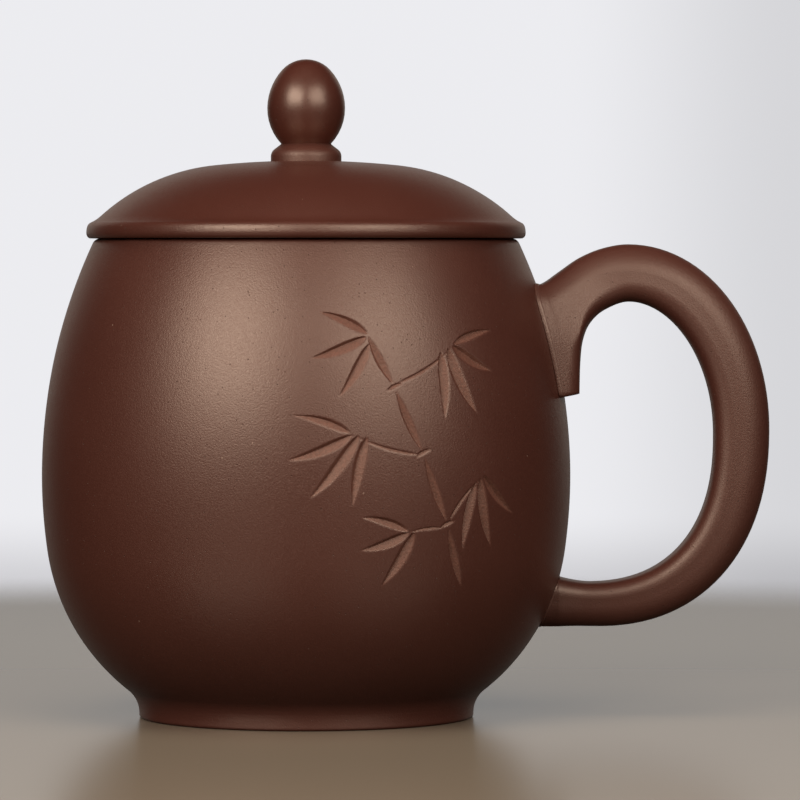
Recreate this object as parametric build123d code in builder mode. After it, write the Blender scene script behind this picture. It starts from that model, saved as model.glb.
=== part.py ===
"""Lidded clay tea cup: a round-bellied mug on a foot ring, with a loop handle and a loose domed lid.

The frame's origin is on the cup's axis, where the foot ring stands. +Z is up and the handle is towards +X.
"""

import os
from math import asin, cos, degrees, radians, sin, sqrt, tan

from build123d import *

# Barrel, all heights from the table
belly_diameter = 100.0
belly_height = 45.9
body_height = 90.6
mouth_diameter = 79.8
haunch_drop = 14.1
wall = 3.6
base_thickness = 4.0
floor_inset = 1.5
mouth_ring_width = 3.9
mouth_ring_height = 3.6
mouth_outer_rounding = 1.6
mouth_inner_rounding = 0.5

# Foot
foot_diameter = 63.4
foot_height = 3.0
foot_side = 0.8
foot_cove_radius = 5.7
foot_ring_width = 4.1
foot_rounding = 0.6

# Handle: depth is seen from the side of the cup, width is across it
finger_gap = 27.2
grip_height = 54.0
grip_depth = 10.5
arch_below_mouth = 1.1
arch_beyond_belly = 10.9
arch_depth = 10.85
arch_width = 12.0
heel_height = 17.2
heel_beyond_belly = 3.9
heel_depth = 8.25
heel_width = 11.0
bend_swell = 0.2
flank_lean = 8.0
lower_root_height = 21.8
lower_root_depth = 9.3
lower_root_width = 12.8
root_below_mouth = 8.9
root_width = 22.6
root_top_rounding = 3.8
tongue_length = 20.3
tongue_stand = 2.65
tongue_cut_slope = 10.5
slip_thickness = 0.4

# Lid
lid_overhang = 1.65
seat_plate_thickness = 3.1
seat_plate_ledge = 1.8
edge_bulge = 1.07
# Where the lid's round edge is widest, as a share of the seat plate's thickness
edge_widest_share = 0.45
flange_clearance = 0.6
flange_wall = 2.6
flange_height = 8.0
flange_rounding = 0.6
dome_rise = 11.6
dome_thickness = 3.0
dome_foot_width = 5.25
crown_radius = 170.0
crown_diameter = 34.8
brim_cove_radius = 6.8
brim_slope = 26.0
collar_diameter = 13.4
collar_height = 3.3
collar_rounding = 1.8
knob_diameter = 14.7
knob_neck_diameter = 9.4
knob_belly_rise = 6.8
knob_crown_rise = 9.2
# The knob's round cap, as a share of the knob's half width
knob_cap_share = 0.84

# The upper root fans out from the arch to the tongue. Each row is one section: the shares, from the arch to the
# wall, of its top end's way out and down, of its lower end's way out and down, of its growth in width, and of its
# smaller side in the rounding of its inner corners.
root_fan_shares = [
    (0.28, 0.10, 0.48, 0.09, 0.06, 0.32),
    (0.53, 0.33, 0.77, 0.23, 0.24, 0.28),
    (0.74, 0.65, 0.92, 0.41, 0.52, 0.22),
    (0.91, 0.92, 0.98, 0.65, 0.78, 0.16),
    (1.06, 1.13, 1.01, 1.02, 1.00, 0.12),
    (1.17, 1.31, 1.06, 1.42, 1.12, 0.11),
]
# The lower root, from the heel to the wall and on into it: shares of the way there and of the growth
lower_root_shares = [(0.60, 0.30), (1.00, 1.00), (1.35, 1.60)]
# Rounding of the handle's corners outside and inside the loop, as shares of the smaller side
outer_corner_share = 0.46
inner_corner_share = 0.34
# How square the loop's bends are above and below the grip: 2 is an ellipse
upper_bend_power = 2.0
lower_bend_power = 2.3
loop_sections = 9
cut_overrun = 5.0


def outward_arc(centre, radius, low, high=None):
    """Draw the arc to the right of its centre, from height low up to height high, or to its own top."""
    start = degrees(asin((low - centre.Y) / radius))
    end = 90 if high is None else degrees(asin((high - centre.Y) / radius))
    return CenterArc(centre, radius, start, end - start)


def inward_arc(centre, radius, low, high):
    """Draw the arc to the left of its centre, from height low up to height high."""
    start = 180 - degrees(asin((low - centre.Y) / radius))
    end = 180 - degrees(asin((high - centre.Y) / radius))
    return CenterArc(centre, radius, start, end - start)


def arc_reach(centre, radius, z):
    """Distance from the axis, at height z, of an arc to the right of its centre."""
    return centre.X + sqrt(radius**2 - (z - centre.Y) ** 2)


def joining_radius(point, normal, cove_centre, cove_radius):
    """Radius of the arc that leaves point square to normal and runs smoothly into a hollow cove.

    A cove of no radius is a point that the arc runs to.
    """
    to_cove = cove_centre - point
    return (to_cove.dot(to_cove) - cove_radius**2) / (2 * (cove_radius - to_cove.dot(normal)))


# The barrel's side is two arcs, shoulder above and haunch below, and a hollow cove down to the foot
belly_reach = belly_diameter / 2
side_rise = body_height - belly_height
side_lean = belly_reach - mouth_diameter / 2
shoulder_radius = (side_rise**2 + side_lean**2) / (2 * side_lean)
shoulder_centre = Vector(belly_reach - shoulder_radius, belly_height)
haunch_height = belly_height - haunch_drop
haunch_point = Vector(arc_reach(shoulder_centre, shoulder_radius, haunch_height), haunch_height)
haunch_normal = (haunch_point - shoulder_centre).normalized()
foot_cove_centre = Vector(foot_diameter / 2 + foot_cove_radius, foot_side)
haunch_radius = joining_radius(haunch_point, haunch_normal, foot_cove_centre, foot_cove_radius)
haunch_centre = haunch_point - haunch_normal * haunch_radius
hip_share = haunch_radius / (haunch_radius + foot_cove_radius)
hip_height = (haunch_centre + (foot_cove_centre - haunch_centre) * hip_share).Y
wall_top = body_height - mouth_ring_height

# Inside, the shoulder keeps the wall's thickness, and an arc of its own runs from there to the floor's edge
floor_reach = foot_diameter / 2 - floor_inset
floor_height = foot_height + base_thickness
inner_point = haunch_point - haunch_normal * wall
floor_edge = Vector(floor_reach, floor_height)
inner_haunch_radius = joining_radius(inner_point, haunch_normal, floor_edge, 0)
inner_haunch_centre = inner_point - haunch_normal * inner_haunch_radius


def barrel_reach(z):
    """Distance from the axis of the barrel's outer face at height z, above the foot's cove."""
    if z < haunch_height:
        return arc_reach(haunch_centre, haunch_radius, z)
    return arc_reach(shoulder_centre, shoulder_radius, z)


def barrel_side(low, high, grow=0.0):
    """Draw the barrel's haunch and shoulder from low up to high, grown outwards by grow.

    Returns:
        The lowest and the highest point of the line.
    """
    turn_height = haunch_height - (shoulder_centre.Y - haunch_height) * grow / shoulder_radius
    haunch = outward_arc(haunch_centre, haunch_radius + grow, low, turn_height)
    shoulder = outward_arc(shoulder_centre, shoulder_radius + grow, turn_height, high)
    return haunch @ 0, shoulder @ 1


# Barrel wall, open at both ends, with a bore below for the base disc
with BuildPart() as body_wall:
    with BuildSketch(Plane.XZ):
        with BuildLine():
            cove = inward_arc(foot_cove_centre, foot_cove_radius, foot_height, hip_height)
            _, outer_top = barrel_side(hip_height, wall_top)
            inner_haunch = outward_arc(inner_haunch_centre, inner_haunch_radius, floor_height, inner_point.Y)
            inner_side = outward_arc(shoulder_centre, shoulder_radius - wall, inner_point.Y, wall_top)
            Line(outer_top, inner_side @ 1)
            Polyline(inner_haunch @ 0, (floor_reach, foot_height), cove @ 0)
        make_face()
    revolve(axis=Axis.Z)
body_wall.part.label = "body_wall"

# Base disc, let into the barrel's lower bore
with BuildPart() as base_disc:
    with BuildSketch(Plane.XY.offset(foot_height)):
        Circle(floor_reach)
    extrude(amount=base_thickness)
base_disc.part.label = "base_disc"

# Foot ring, under the barrel and the rim of the base disc
with BuildPart() as foot_ring:
    with BuildSketch(Plane.XZ):
        with BuildLine():
            foot_line = Line((foot_diameter / 2, 0), (foot_diameter / 2, foot_side))
            foot_cove = inward_arc(foot_cove_centre, foot_cove_radius, foot_side, foot_height)
            foot_inside = foot_diameter / 2 - foot_ring_width
            Polyline(foot_cove @ 1, (foot_inside, foot_height), (foot_inside, 0), foot_line @ 0)
        make_face()
    revolve(axis=Axis.Z)
    fillet(foot_ring.edges().group_by(Axis.Z)[0], foot_rounding)
foot_ring.part.label = "foot_ring"

# Mouth ring, flush with the barrel outside, with the lid's flat seat on top
bore_reach = mouth_diameter / 2 - mouth_ring_width
with BuildPart() as mouth_ring:
    with BuildSketch(Plane.XZ):
        with BuildLine():
            side = outward_arc(shoulder_centre, shoulder_radius, wall_top, body_height)
            Polyline(side @ 1, (bore_reach, body_height), (bore_reach, wall_top), side @ 0)
        make_face()
    revolve(axis=Axis.Z)
    fillet(mouth_ring.faces().sort_by(Axis.Z)[-1].outer_wire().edges(), mouth_outer_rounding)
    fillet(mouth_ring.faces().sort_by(Axis.Z)[-1].inner_wires().edges(), mouth_inner_rounding)
mouth_ring.part.label = "mouth_ring"

# The handle's centre line: a quarter bend from the arch out to the grip, and another in to the heel
grip_reach = belly_reach + finger_gap + grip_depth / 2
arch_reach = belly_reach + arch_beyond_belly
arch_top = body_height - arch_below_mouth
arch_height = arch_top - arch_depth / 2
heel_reach = belly_reach + heel_beyond_belly
heel_centre_height = heel_height + heel_depth / 2
root_top = body_height - root_below_mouth
tongue_tip = root_top - tongue_length
tongue_reach = barrel_reach(tongue_tip) + tongue_stand
lower_root_reach = barrel_reach(lower_root_height)
between_roots = (tongue_tip + lower_root_height) / 2


def cross_plane(x, z, along_x, along_z):
    """Plane across the handle at a point of the side view, facing along the given direction."""
    return Plane(origin=(x, 0, z), x_dir=(0, 1, 0), z_dir=(along_x, 0, along_z))


def blend(start, end, share):
    """Value at a share of the way from start to end."""
    return start + (end - start) * share


def corner_roundings(width, depth):
    """Rounding of the outer and of the inner corners of the loop's section."""
    smaller_side = min(width, depth)
    return smaller_side * outer_corner_share, smaller_side * inner_corner_share


def loop_station(share):
    """Section of the loop at a share of the way round from the arch to the heel.

    Returns:
        Its plane, width, depth, the lean of its flanks, and the rounding of its outer and its inner corners.
    """
    upper = share < 0.5
    hub_reach, end_height = (arch_reach, arch_height) if upper else (heel_reach, heel_centre_height)
    power = upper_bend_power if upper else lower_bend_power
    turn = radians(abs(blend(90, -90, share)))
    across, upright = grip_reach - hub_reach, end_height - grip_height
    plane = cross_plane(
        hub_reach + across * cos(turn) ** (2 / power),
        grip_height + upright * sin(turn) ** (2 / power),
        sin(turn) ** (2 - 2 / power) / upright,
        -(cos(turn) ** (2 - 2 / power)) / across,
    )
    half_share = 2 * share if upper else 2 * share - 1
    depths = (arch_depth, grip_depth) if upper else (grip_depth, heel_depth)
    depth = blend(*depths, half_share) + bend_swell * sin(radians(180 * half_share))
    width = blend(arch_width, heel_width, share)
    return plane, width, depth, flank_lean, *corner_roundings(width, depth)


def root_station(shares):
    """Section of the upper root between the arch and the tongue.

    Returns:
        Its plane, width, depth, the lean of its flanks, and the rounding of its outer and its inner corners.
    """
    top_out, top_down, low_out, low_down, growth, corner_share = shares
    top = Vector(
        blend(arch_reach, barrel_reach(root_top), top_out),
        blend(arch_top, root_top, top_down),
    )
    low = Vector(
        blend(arch_reach, tongue_reach, low_out),
        blend(arch_top - arch_depth, tongue_tip, low_down),
    )
    middle, up = (top + low) * 0.5, top - low
    plane = cross_plane(middle.X, middle.Y, up.Y, -up.X)
    width, depth = blend(arch_width, root_width, growth), up.length
    outer_rounding = blend(arch_depth * outer_corner_share, root_top_rounding, growth)
    lean = max(0, blend(flank_lean, 0, growth))
    return plane, width, depth, lean, outer_rounding, min(width, depth) * corner_share


def lower_root_station(shares):
    """Section of the lower root between the heel and the wall.

    Returns:
        Its plane, width, depth, the lean of its flanks, and the rounding of its outer and its inner corners.
    """
    way, growth = shares
    plane = cross_plane(
        blend(heel_reach, lower_root_reach, way),
        blend(heel_centre_height, lower_root_height, way),
        lower_root_reach - heel_reach,
        0,
    )
    width, depth = blend(heel_width, lower_root_width, growth), blend(heel_depth, lower_root_depth, growth)
    return plane, width, depth, flank_lean, *corner_roundings(width, depth)


handle_stations = [root_station(shares) for shares in reversed(root_fan_shares)]
handle_stations += [loop_station(index / (loop_sections - 1)) for index in range(loop_sections)]
handle_stations += [lower_root_station(shares) for shares in lower_root_shares]

# The handle as it is before its roots are trimmed to the barrel, with the tongue's end cut flat
with BuildPart() as handle_blank:
    for plane, width, depth, lean, outer_rounding, inner_rounding in handle_stations:
        with BuildSketch(plane) as section:
            Trapezoid(width + depth * tan(radians(lean)), depth, 90 - lean)
            fillet(section.vertices().group_by(Axis.Y)[-1], outer_rounding)
            fillet(section.vertices().group_by(Axis.Y)[0], inner_rounding)
    loft()
    cut_fall = tan(radians(tongue_cut_slope))
    cut_out = tongue_reach + cut_overrun
    cut_in = barrel_reach(tongue_tip) - wall
    with BuildSketch(Plane.XZ):
        Polygon(
            (cut_out, tongue_tip + cut_fall * cut_overrun),
            (cut_in, tongue_tip - cut_fall * (tongue_reach - cut_in)),
            (cut_in, tongue_tip - tongue_length),
            (cut_out, tongue_tip - tongue_length),
            align=None,
        )
    extrude(amount=root_width, both=True, mode=Mode.SUBTRACT)

# Handle, trimmed to stand on the slip
with BuildPart() as handle:
    add(handle_blank.part)
    with BuildSketch(Plane.XZ):
        with BuildLine():
            low_end, high_end = barrel_side(hip_height, wall_top, slip_thickness)
            Polyline(high_end, (0, high_end.Y), (0, low_end.Y), low_end)
        make_face()
    revolve(axis=Axis.Z, mode=Mode.SUBTRACT)
handle.part.label = "handle"


def luting_slip(side, label):
    """Slip between the barrel and the upper or the lower of the handle's roots.

    Returns:
        The slip's builder, with its part labelled.
    """
    with BuildPart() as slip:
        add(handle_blank.part)
        with BuildSketch(Plane.XZ):
            with BuildLine():
                inner_low_end, inner_high_end = barrel_side(hip_height, wall_top)
                outer_low_end, outer_high_end = barrel_side(hip_height, wall_top, slip_thickness)
                Line(inner_low_end, outer_low_end)
                Line(inner_high_end, outer_high_end)
            make_face()
        revolve(axis=Axis.Z, mode=Mode.INTERSECT)
        split(bisect_by=Plane.XY.offset(between_roots), keep=side)
    slip.part.label = label
    return slip


upper_slip = luting_slip(Keep.TOP, "upper_luting_slip")
lower_slip = luting_slip(Keep.BOTTOM, "lower_luting_slip")

# The lid's dome is a crown arc and a shoulder arc, and a hollow cove down to the seat plate
plate_top = body_height + seat_plate_thickness
plate_reach = mouth_diameter / 2 + lid_overhang
flange_reach = bore_reach - flange_clearance
flange_inside = flange_reach - flange_wall
dome_reach = plate_reach - edge_bulge
crown_centre = Vector(0, plate_top + dome_rise - crown_radius)
crown_height = crown_centre.Y + sqrt(crown_radius**2 - (crown_diameter / 2) ** 2)
crown_end = Vector(crown_diameter / 2, crown_height)
crown_normal = (crown_end - crown_centre).normalized()
brim_lean = Vector(sin(radians(brim_slope)), cos(radians(brim_slope)))
brim_cove_centre = Vector(dome_reach, plate_top) + brim_lean * brim_cove_radius
dome_shoulder_radius = joining_radius(crown_end, crown_normal, brim_cove_centre, brim_cove_radius)
dome_shoulder_centre = crown_end - crown_normal * dome_shoulder_radius
brim_share = dome_shoulder_radius / (dome_shoulder_radius + brim_cove_radius)
brim_height = (dome_shoulder_centre + (brim_cove_centre - dome_shoulder_centre) * brim_share).Y
inner_crown_end = crown_end - crown_normal * dome_thickness
dome_foot = Vector(dome_reach - dome_foot_width, plate_top)
inner_dome_radius = joining_radius(inner_crown_end, crown_normal, dome_foot, 0)
inner_dome_centre = inner_crown_end - crown_normal * inner_dome_radius
knob_seat = crown_centre.Y + sqrt(crown_radius**2 - (collar_diameter / 2) ** 2)

# Seat plate, whose flat underside rests on the mouth ring, with one round bulge for its edge
edge_rise = seat_plate_thickness * (1 - edge_widest_share)
edge_radius = (edge_rise**2 + edge_bulge**2) / (2 * edge_bulge)
edge_centre = Vector(plate_reach - edge_radius, plate_top - edge_rise)
plate_inside = flange_inside - seat_plate_ledge
with BuildPart() as lid_seat_plate:
    with BuildSketch(Plane.XZ):
        with BuildLine():
            edge = outward_arc(edge_centre, edge_radius, body_height, plate_top)
            Polyline(edge @ 1, (plate_inside, plate_top), (plate_inside, body_height), edge @ 0)
        make_face()
    revolve(axis=Axis.Z)
lid_seat_plate.part.label = "lid_seat_plate"

# Dome, hollow, with a small flat land for the knob's collar
with BuildPart() as lid_dome:
    with BuildSketch(Plane.XZ):
        with BuildLine():
            brim = inward_arc(brim_cove_centre, brim_cove_radius, plate_top, brim_height)
            outward_arc(dome_shoulder_centre, dome_shoulder_radius, brim_height, crown_end.Y)
            crown = outward_arc(crown_centre, crown_radius, crown_end.Y, knob_seat)
            inner_shoulder = outward_arc(inner_dome_centre, inner_dome_radius, plate_top, inner_crown_end.Y)
            inner_crown = outward_arc(crown_centre, crown_radius - dome_thickness, inner_crown_end.Y)
            Polyline(crown @ 1, (0, knob_seat), inner_crown @ 1)
            Line(inner_shoulder @ 0, brim @ 0)
        make_face()
    revolve(axis=Axis.Z)
lid_dome.part.label = "lid_dome"

# Flange, which hangs from the seat plate into the mouth
with BuildPart() as lid_flange:
    with BuildSketch(Plane.XY.offset(body_height)):
        Circle(flange_reach)
        Circle(flange_inside, mode=Mode.SUBTRACT)
    extrude(amount=-flange_height)
    fillet(lid_flange.edges().group_by(Axis.Z)[0], flange_rounding)
lid_flange.part.label = "lid_flange"

# Collar, a low disc on the dome's land
with BuildPart() as knob_collar:
    with BuildSketch(Plane.XY.offset(knob_seat)):
        Circle(collar_diameter / 2)
    extrude(amount=collar_height)
    fillet(knob_collar.edges().group_by(Axis.Z)[-1], collar_rounding)
knob_collar.part.label = "knob_collar"

# Knob, an egg of three arcs: from the neck to the waist, from the waist up, and a round cap
collar_top = knob_seat + collar_height
knob_reach = knob_diameter / 2
knob_waist = collar_top + knob_belly_rise
neck_lean = knob_reach - knob_neck_diameter / 2
knob_lower_radius = (knob_belly_rise**2 + neck_lean**2) / (2 * neck_lean)
knob_cap_radius = knob_reach * knob_cap_share
cap_rise = knob_crown_rise - knob_cap_radius
knob_upper_radius = (knob_reach**2 + cap_rise**2 - knob_cap_radius**2) / (2 * (knob_reach - knob_cap_radius))
cap_centre = Vector(0, knob_waist + cap_rise)
upper_centre = Vector(knob_reach - knob_upper_radius, knob_waist)
cap_edge = (cap_centre + (cap_centre - upper_centre).normalized() * knob_cap_radius).Y
with BuildPart() as knob:
    with BuildSketch(Plane.XZ):
        with BuildLine():
            lower_centre = Vector(knob_reach - knob_lower_radius, knob_waist)
            lower_half = outward_arc(lower_centre, knob_lower_radius, collar_top, knob_waist)
            outward_arc(upper_centre, knob_upper_radius, knob_waist, cap_edge)
            cap = outward_arc(cap_centre, knob_cap_radius, cap_edge)
            Polyline(cap @ 1, (0, collar_top), lower_half @ 0)
        make_face()
    revolve(axis=Axis.Z)
knob.part.label = "knob"

pieces = [
    body_wall,
    base_disc,
    foot_ring,
    mouth_ring,
    handle,
    upper_slip,
    lower_slip,
    lid_seat_plate,
    lid_dome,
    lid_flange,
    knob_collar,
    knob,
]
os.makedirs("parts", exist_ok=True)
for piece in pieces:
    export_step(piece.part, f"parts/{piece.part.label}.step")
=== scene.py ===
"""Looks of a lidded clay tea cup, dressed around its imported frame.

Every piece is in metres, in the frame's own axes: the origin is on the cup's axis where the foot stands,
+Z is up and the handle is towards +X. The camera looks along +Y.
"""

import logging
import math
from dataclasses import dataclass, field, replace
from enum import Enum
from typing import ClassVar

import bmesh
import bpy
from bmesh.types import BMEdge, BMesh, BMVert
from mathutils import Matrix, Vector, noise


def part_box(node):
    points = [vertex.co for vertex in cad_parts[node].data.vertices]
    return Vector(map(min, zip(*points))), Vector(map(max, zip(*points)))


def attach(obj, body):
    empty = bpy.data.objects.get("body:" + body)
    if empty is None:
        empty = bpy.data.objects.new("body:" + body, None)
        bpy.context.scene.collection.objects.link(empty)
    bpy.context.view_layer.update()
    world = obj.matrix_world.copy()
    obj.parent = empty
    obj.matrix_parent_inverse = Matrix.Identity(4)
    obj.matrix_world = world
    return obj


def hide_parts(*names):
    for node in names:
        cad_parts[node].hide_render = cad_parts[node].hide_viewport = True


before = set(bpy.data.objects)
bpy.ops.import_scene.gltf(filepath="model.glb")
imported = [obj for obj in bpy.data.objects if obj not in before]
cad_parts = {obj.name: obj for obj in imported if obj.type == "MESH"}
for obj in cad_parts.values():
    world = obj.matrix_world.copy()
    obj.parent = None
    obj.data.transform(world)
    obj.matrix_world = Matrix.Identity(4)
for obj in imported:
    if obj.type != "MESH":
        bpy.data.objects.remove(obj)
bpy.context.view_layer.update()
log = logging.getLogger("tea_cup")

Colour = tuple[float, float, float]
Span = tuple[float, float]
Place = tuple[float, float]
Outline = list[Vector]
Socket = bpy.types.NodeSocket

MM = 0.001
MERGE_DISTANCE = 1e-6
SAME_POINT = MM / 500
SAME_RIM = MM / 100
ROW_SPACING = 1.2 * MM
LEAST_ROWS = 6
WHEEL_STEPS = 240
RIM_SEGMENTS = 5
CREASE_ANGLE = math.radians(38)
NOISE_MIDDLE = 0.5
BLACK: Colour = (0.0, 0.0, 0.0)


class Body(Enum):
    """The two bodies that the pieces ride on."""

    CUP = "cup"
    LID = "lid"


class Slot(Enum):
    """The record's material slots."""

    RED_CLAY = "red_clay"
    CLAY_SLIP = "clay_slip"


class Side(Enum):
    """The side of its centre on which an arc of a half section lies."""

    OUTWARD = 1
    HOLLOW = -1


def arc(centre: Vector, radius: float, low: float, high: float, side: Side = Side.OUTWARD) -> Outline:
    """Points along an arc of a half section, from one height to another.

    Args:
        centre: The arc's centre, as reach from the axis and height.
        radius: The arc's radius.
        low: Height where the arc starts.
        high: Height where the arc ends.
        side: Whether the arc bulges away from the axis or is a hollow cove.

    Returns:
        The points, evenly spaced along the arc.
    """
    start, end = (math.asin(max(-1.0, min(1.0, (height - centre.y) / radius))) for height in (low, high))
    count = max(LEAST_ROWS, round(abs(end - start) * radius / ROW_SPACING))
    angles = [start + (end - start) * index / count for index in range(count + 1)]
    return [centre + Vector((side.value * math.cos(angle), math.sin(angle))) * radius for angle in angles]


def corners(*places: Place) -> Outline:
    """Points of a half section, each given as its reach from the axis and its height."""
    return [Vector(place) for place in places]


def joining_radius(point: Vector, normal: Vector, cove_centre: Vector, cove_radius: float) -> float:
    """Radius of the arc that leaves a point square to a normal and runs smoothly into a hollow cove.

    Args:
        point: Where the arc starts.
        normal: Unit direction from the arc's centre to the point.
        cove_centre: Centre of the cove.
        cove_radius: Radius of the cove, or zero for a point that the arc runs to.

    Returns:
        The radius of the arc.
    """
    to_cove = cove_centre - point
    return (to_cove.dot(to_cove) - cove_radius**2) / (2 * (cove_radius - to_cove.dot(normal)))


def turned(outline: Outline, closed: bool = True) -> BMesh:
    """Turn a half section about the cup's axis, as on a wheel.

    Args:
        outline: The half section's points. Points that repeat the one before are passed over.
        closed: Whether the last point joins the first. An open outline has both its ends on the axis.

    Returns:
        A closed mesh with its faces outwards.
    """
    points = outline[:1]
    points += [here for last, here in zip(outline, outline[1:]) if (here - last).length > SAME_POINT]
    if closed and (points[0] - points[-1]).length < SAME_POINT:
        points.pop()
    bm = bmesh.new()
    verts = [bm.verts.new((point.x, 0.0, point.y)) for point in points]
    ends = verts[1:] + verts[:1] if closed else verts[1:]
    edges = [bm.edges.new(pair) for pair in zip(verts, ends)]
    bmesh.ops.spin(
        bm,
        geom=verts + edges,
        cent=(0, 0, 0),
        axis=(0, 0, 1),
        angle=math.tau,
        steps=WHEEL_STEPS,
        use_merge=True,
    )
    bmesh.ops.remove_doubles(bm, verts=bm.verts, dist=MERGE_DISTANCE)
    bmesh.ops.recalc_face_normals(bm, faces=bm.faces)
    return bm


def round_rim(bm: BMesh, reach: float, height: float, rounding: float) -> None:
    """Round the edge that runs round the axis at a reach and height.

    Args:
        bm: The turned mesh.
        reach: The edge's distance from the axis.
        height: The edge's height.
        rounding: The rounding's radius.
    """

    def on_rim(vert: BMVert) -> bool:
        """Whether a vertex lies on the edge."""
        return math.hypot(vert.co.xy.length - reach, vert.co.z - height) < SAME_RIM

    rim = [edge for edge in bm.edges if all(on_rim(vert) for vert in edge.verts)]
    bmesh.ops.bevel(
        bm, geom=rim, offset=rounding, affect="EDGES", segments=RIM_SEGMENTS, profile=0.5, material=-1
    )


def waver(bm: BMesh, depth: float, spread: float) -> None:
    """Let turned clay stray a little in and out, as a hand-made wall does.

    Args:
        bm: The turned mesh.
        depth: The most that it strays.
        spread: Distance from one swell to the next.
    """
    for vert in bm.verts:
        reach = vert.co.xy.length
        if reach > MM:
            vert.co.xy *= 1 + depth * noise.noise(vert.co / spread) / reach


class NodeTree:
    """A node tree under construction."""

    def __init__(self, tree: bpy.types.NodeTree) -> None:
        """Start on a material's or a world's own tree."""
        self.tree = tree

    def add(self, kind: str, **settings: object) -> bpy.types.Node:
        """Add a node and set its properties.

        Args:
            kind: The node's type name.
            settings: Properties of the node, by name.

        Returns:
            The node.
        """
        node = self.tree.nodes.new(kind)
        for name, value in settings.items():
            setattr(node, name, value)
        return node

    def feed(self, socket: Socket, value: object) -> None:
        """Link an output to a socket, or set the socket's own value.

        Args:
            socket: The input socket.
            value: An output socket, or a plain value.
        """
        if isinstance(value, Socket):
            self.tree.links.new(value, socket)
        else:
            socket.default_value = value

    def span(self, value: Socket, low: float, high: float) -> Socket:
        """Map a value smoothly so that low becomes 0 and high becomes 1.

        Args:
            value: The value.
            low: Where the result is 0.
            high: Where the result is 1.

        Returns:
            The mapped value, kept from 0 to 1.
        """
        node = self.add("ShaderNodeMapRange", interpolation_type="SMOOTHSTEP")
        self.feed(node.inputs["Value"], value)
        node.inputs["From Min"].default_value = low
        node.inputs["From Max"].default_value = high
        return node.outputs["Result"]

    def sum(self, operation: str, *values: object) -> Socket:
        """Do a sum on two or three values.

        Args:
            operation: The math node's operation.
            values: The values, each an output socket or a number.

        Returns:
            The result.
        """
        node = self.add("ShaderNodeMath", operation=operation)
        for socket, value in zip(node.inputs, values):
            self.feed(socket, value)
        return node.outputs[0]

    def tint(self, share: Socket, start: object, end: object) -> Socket:
        """Go from one colour to another.

        Args:
            share: The share of the way, from 0 to 1.
            start: A colour or an output socket.
            end: A colour or an output socket.

        Returns:
            The mixed colour.
        """
        node = self.add("ShaderNodeMix", data_type="RGBA")
        self.feed(node.inputs["Factor"], share)
        for socket, value in ((node.inputs[6], start), (node.inputs[7], end)):
            self.feed(socket, (*value, 1.0) if isinstance(value, tuple) else value)
        return node.outputs[2]

    def seen(self) -> Socket:
        """1 where the camera looks straight at the surface and 0 in mirrored and scattered light."""
        return self.add("ShaderNodeLightPath").outputs["Is Camera Ray"]


class Shade(NodeTree):
    """A material's node tree under construction."""

    def __init__(self, name: str) -> None:
        """Start a material with a principled shader.

        Args:
            name: The material's name.
        """
        self.material = bpy.data.materials.new(name)
        self.material.use_nodes = True
        super().__init__(self.material.node_tree)
        self.shader = self.tree.nodes["Principled BSDF"]
        self.place = self.add("ShaderNodeTexCoord").outputs["Object"]

    def cloud(
        self, size: float, detail: float = 2.0, stretch: tuple[float, float, float] = (1, 1, 1)
    ) -> Socket:
        """Soft noise over the piece.

        Args:
            size: Distance from one swell of the noise to the next.
            detail: How many finer layers it has.
            stretch: How much it is drawn out along X, Y and Z.

        Returns:
            The noise, from 0 to 1.
        """
        mapping = self.add("ShaderNodeMapping")
        self.feed(mapping.inputs["Vector"], self.place)
        mapping.inputs["Scale"].default_value = [1 / (size * share) for share in stretch]
        node = self.add("ShaderNodeTexNoise")
        self.feed(node.inputs["Vector"], mapping.outputs["Vector"])
        node.inputs["Scale"].default_value = 1.0
        node.inputs["Detail"].default_value = detail
        return node.outputs["Fac"]

    def dots(self, spacing: float, size: float, kept: float) -> Socket:
        """Small scattered dots.

        Args:
            spacing: Distance between the places where a dot can be.
            size: A dot's radius.
            kept: Share of the places that hold a dot.

        Returns:
            1 in a dot and 0 outside, with a soft edge.
        """
        cells = self.add("ShaderNodeTexVoronoi")
        self.feed(cells.inputs["Vector"], self.place)
        cells.inputs["Scale"].default_value = 1 / spacing
        near = self.span(cells.outputs["Distance"], size / spacing, size / spacing / 2)
        lot = self.add("ShaderNodeSeparateColor")
        self.feed(lot.inputs["Color"], cells.outputs["Color"])
        drawn = self.sum("LESS_THAN", lot.outputs["Red"], kept)
        return self.sum("MULTIPLY", near, drawn)

    def raise_by(self, height: float, shape: Socket, under: Socket | None = None) -> Socket:
        """Add relief to the surface's normal.

        Args:
            height: How far the relief stands out where its shape is 1.
            shape: The relief's shape.
            under: The normal that the relief is laid on, if there is one.

        Returns:
            The new normal.
        """
        node = self.add("ShaderNodeBump")
        node.inputs["Distance"].default_value = height
        self.feed(node.inputs["Height"], shape)
        if under is not None:
            self.feed(node.inputs["Normal"], under)
        return node.outputs["Normal"]


def shaded(colour: Colour, share: float) -> Colour:
    """A colour made lighter or darker by a share of itself."""
    return tuple(channel * (1 + share) for channel in colour)


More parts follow.
